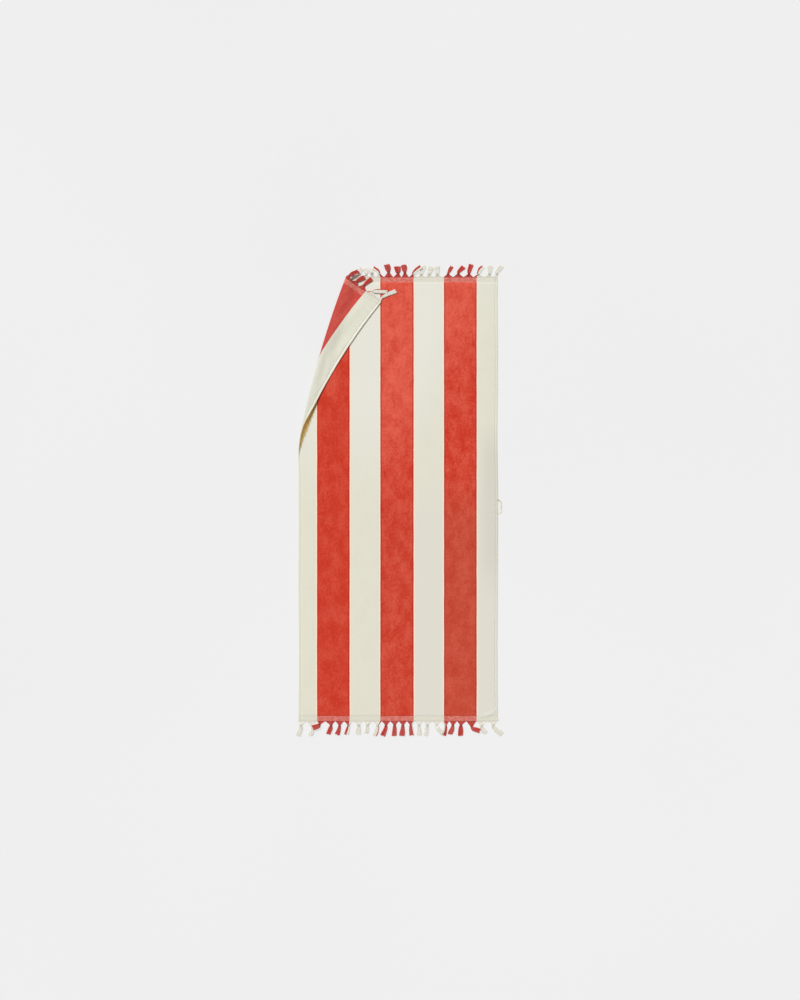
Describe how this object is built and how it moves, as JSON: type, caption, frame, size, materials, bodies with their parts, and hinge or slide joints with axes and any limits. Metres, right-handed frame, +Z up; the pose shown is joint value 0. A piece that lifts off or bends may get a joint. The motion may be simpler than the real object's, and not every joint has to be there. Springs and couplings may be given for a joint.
{
  "type": "striped beach towel with knotted fringe and a folded corner",
  "caption": "Long striped beach towel lying flat, with a knotted fringe at its ends, a hanging loop on its edge and a corner folded over its front.",
  "frame": {"origin": "middle of the unfolded cloth, on the floor it lies on", "axes": "+Z up from the floor, +Y along the towel towards the end with the folded corner, +X towards the edge with the hanging loop"},
  "size_m": [0.8321, 1.8945, 0.0241],
  "materials": {
    "towel_cloth": "cut-pile cotton, red and cream stripes",
    "fringe_yarn": "twisted cotton yarn, red and cream",
    "loop_tape": "narrow woven cotton tape"
  },
  "bodies": {
    "root": {"towel_cloth": "towel_cloth", "fringe_corner": "fringe_yarn", "fringe_top": "fringe_yarn", "fringe_bottom": "fringe_yarn", "hang_loop": "loop_tape"}
  },
  "joints": []
}
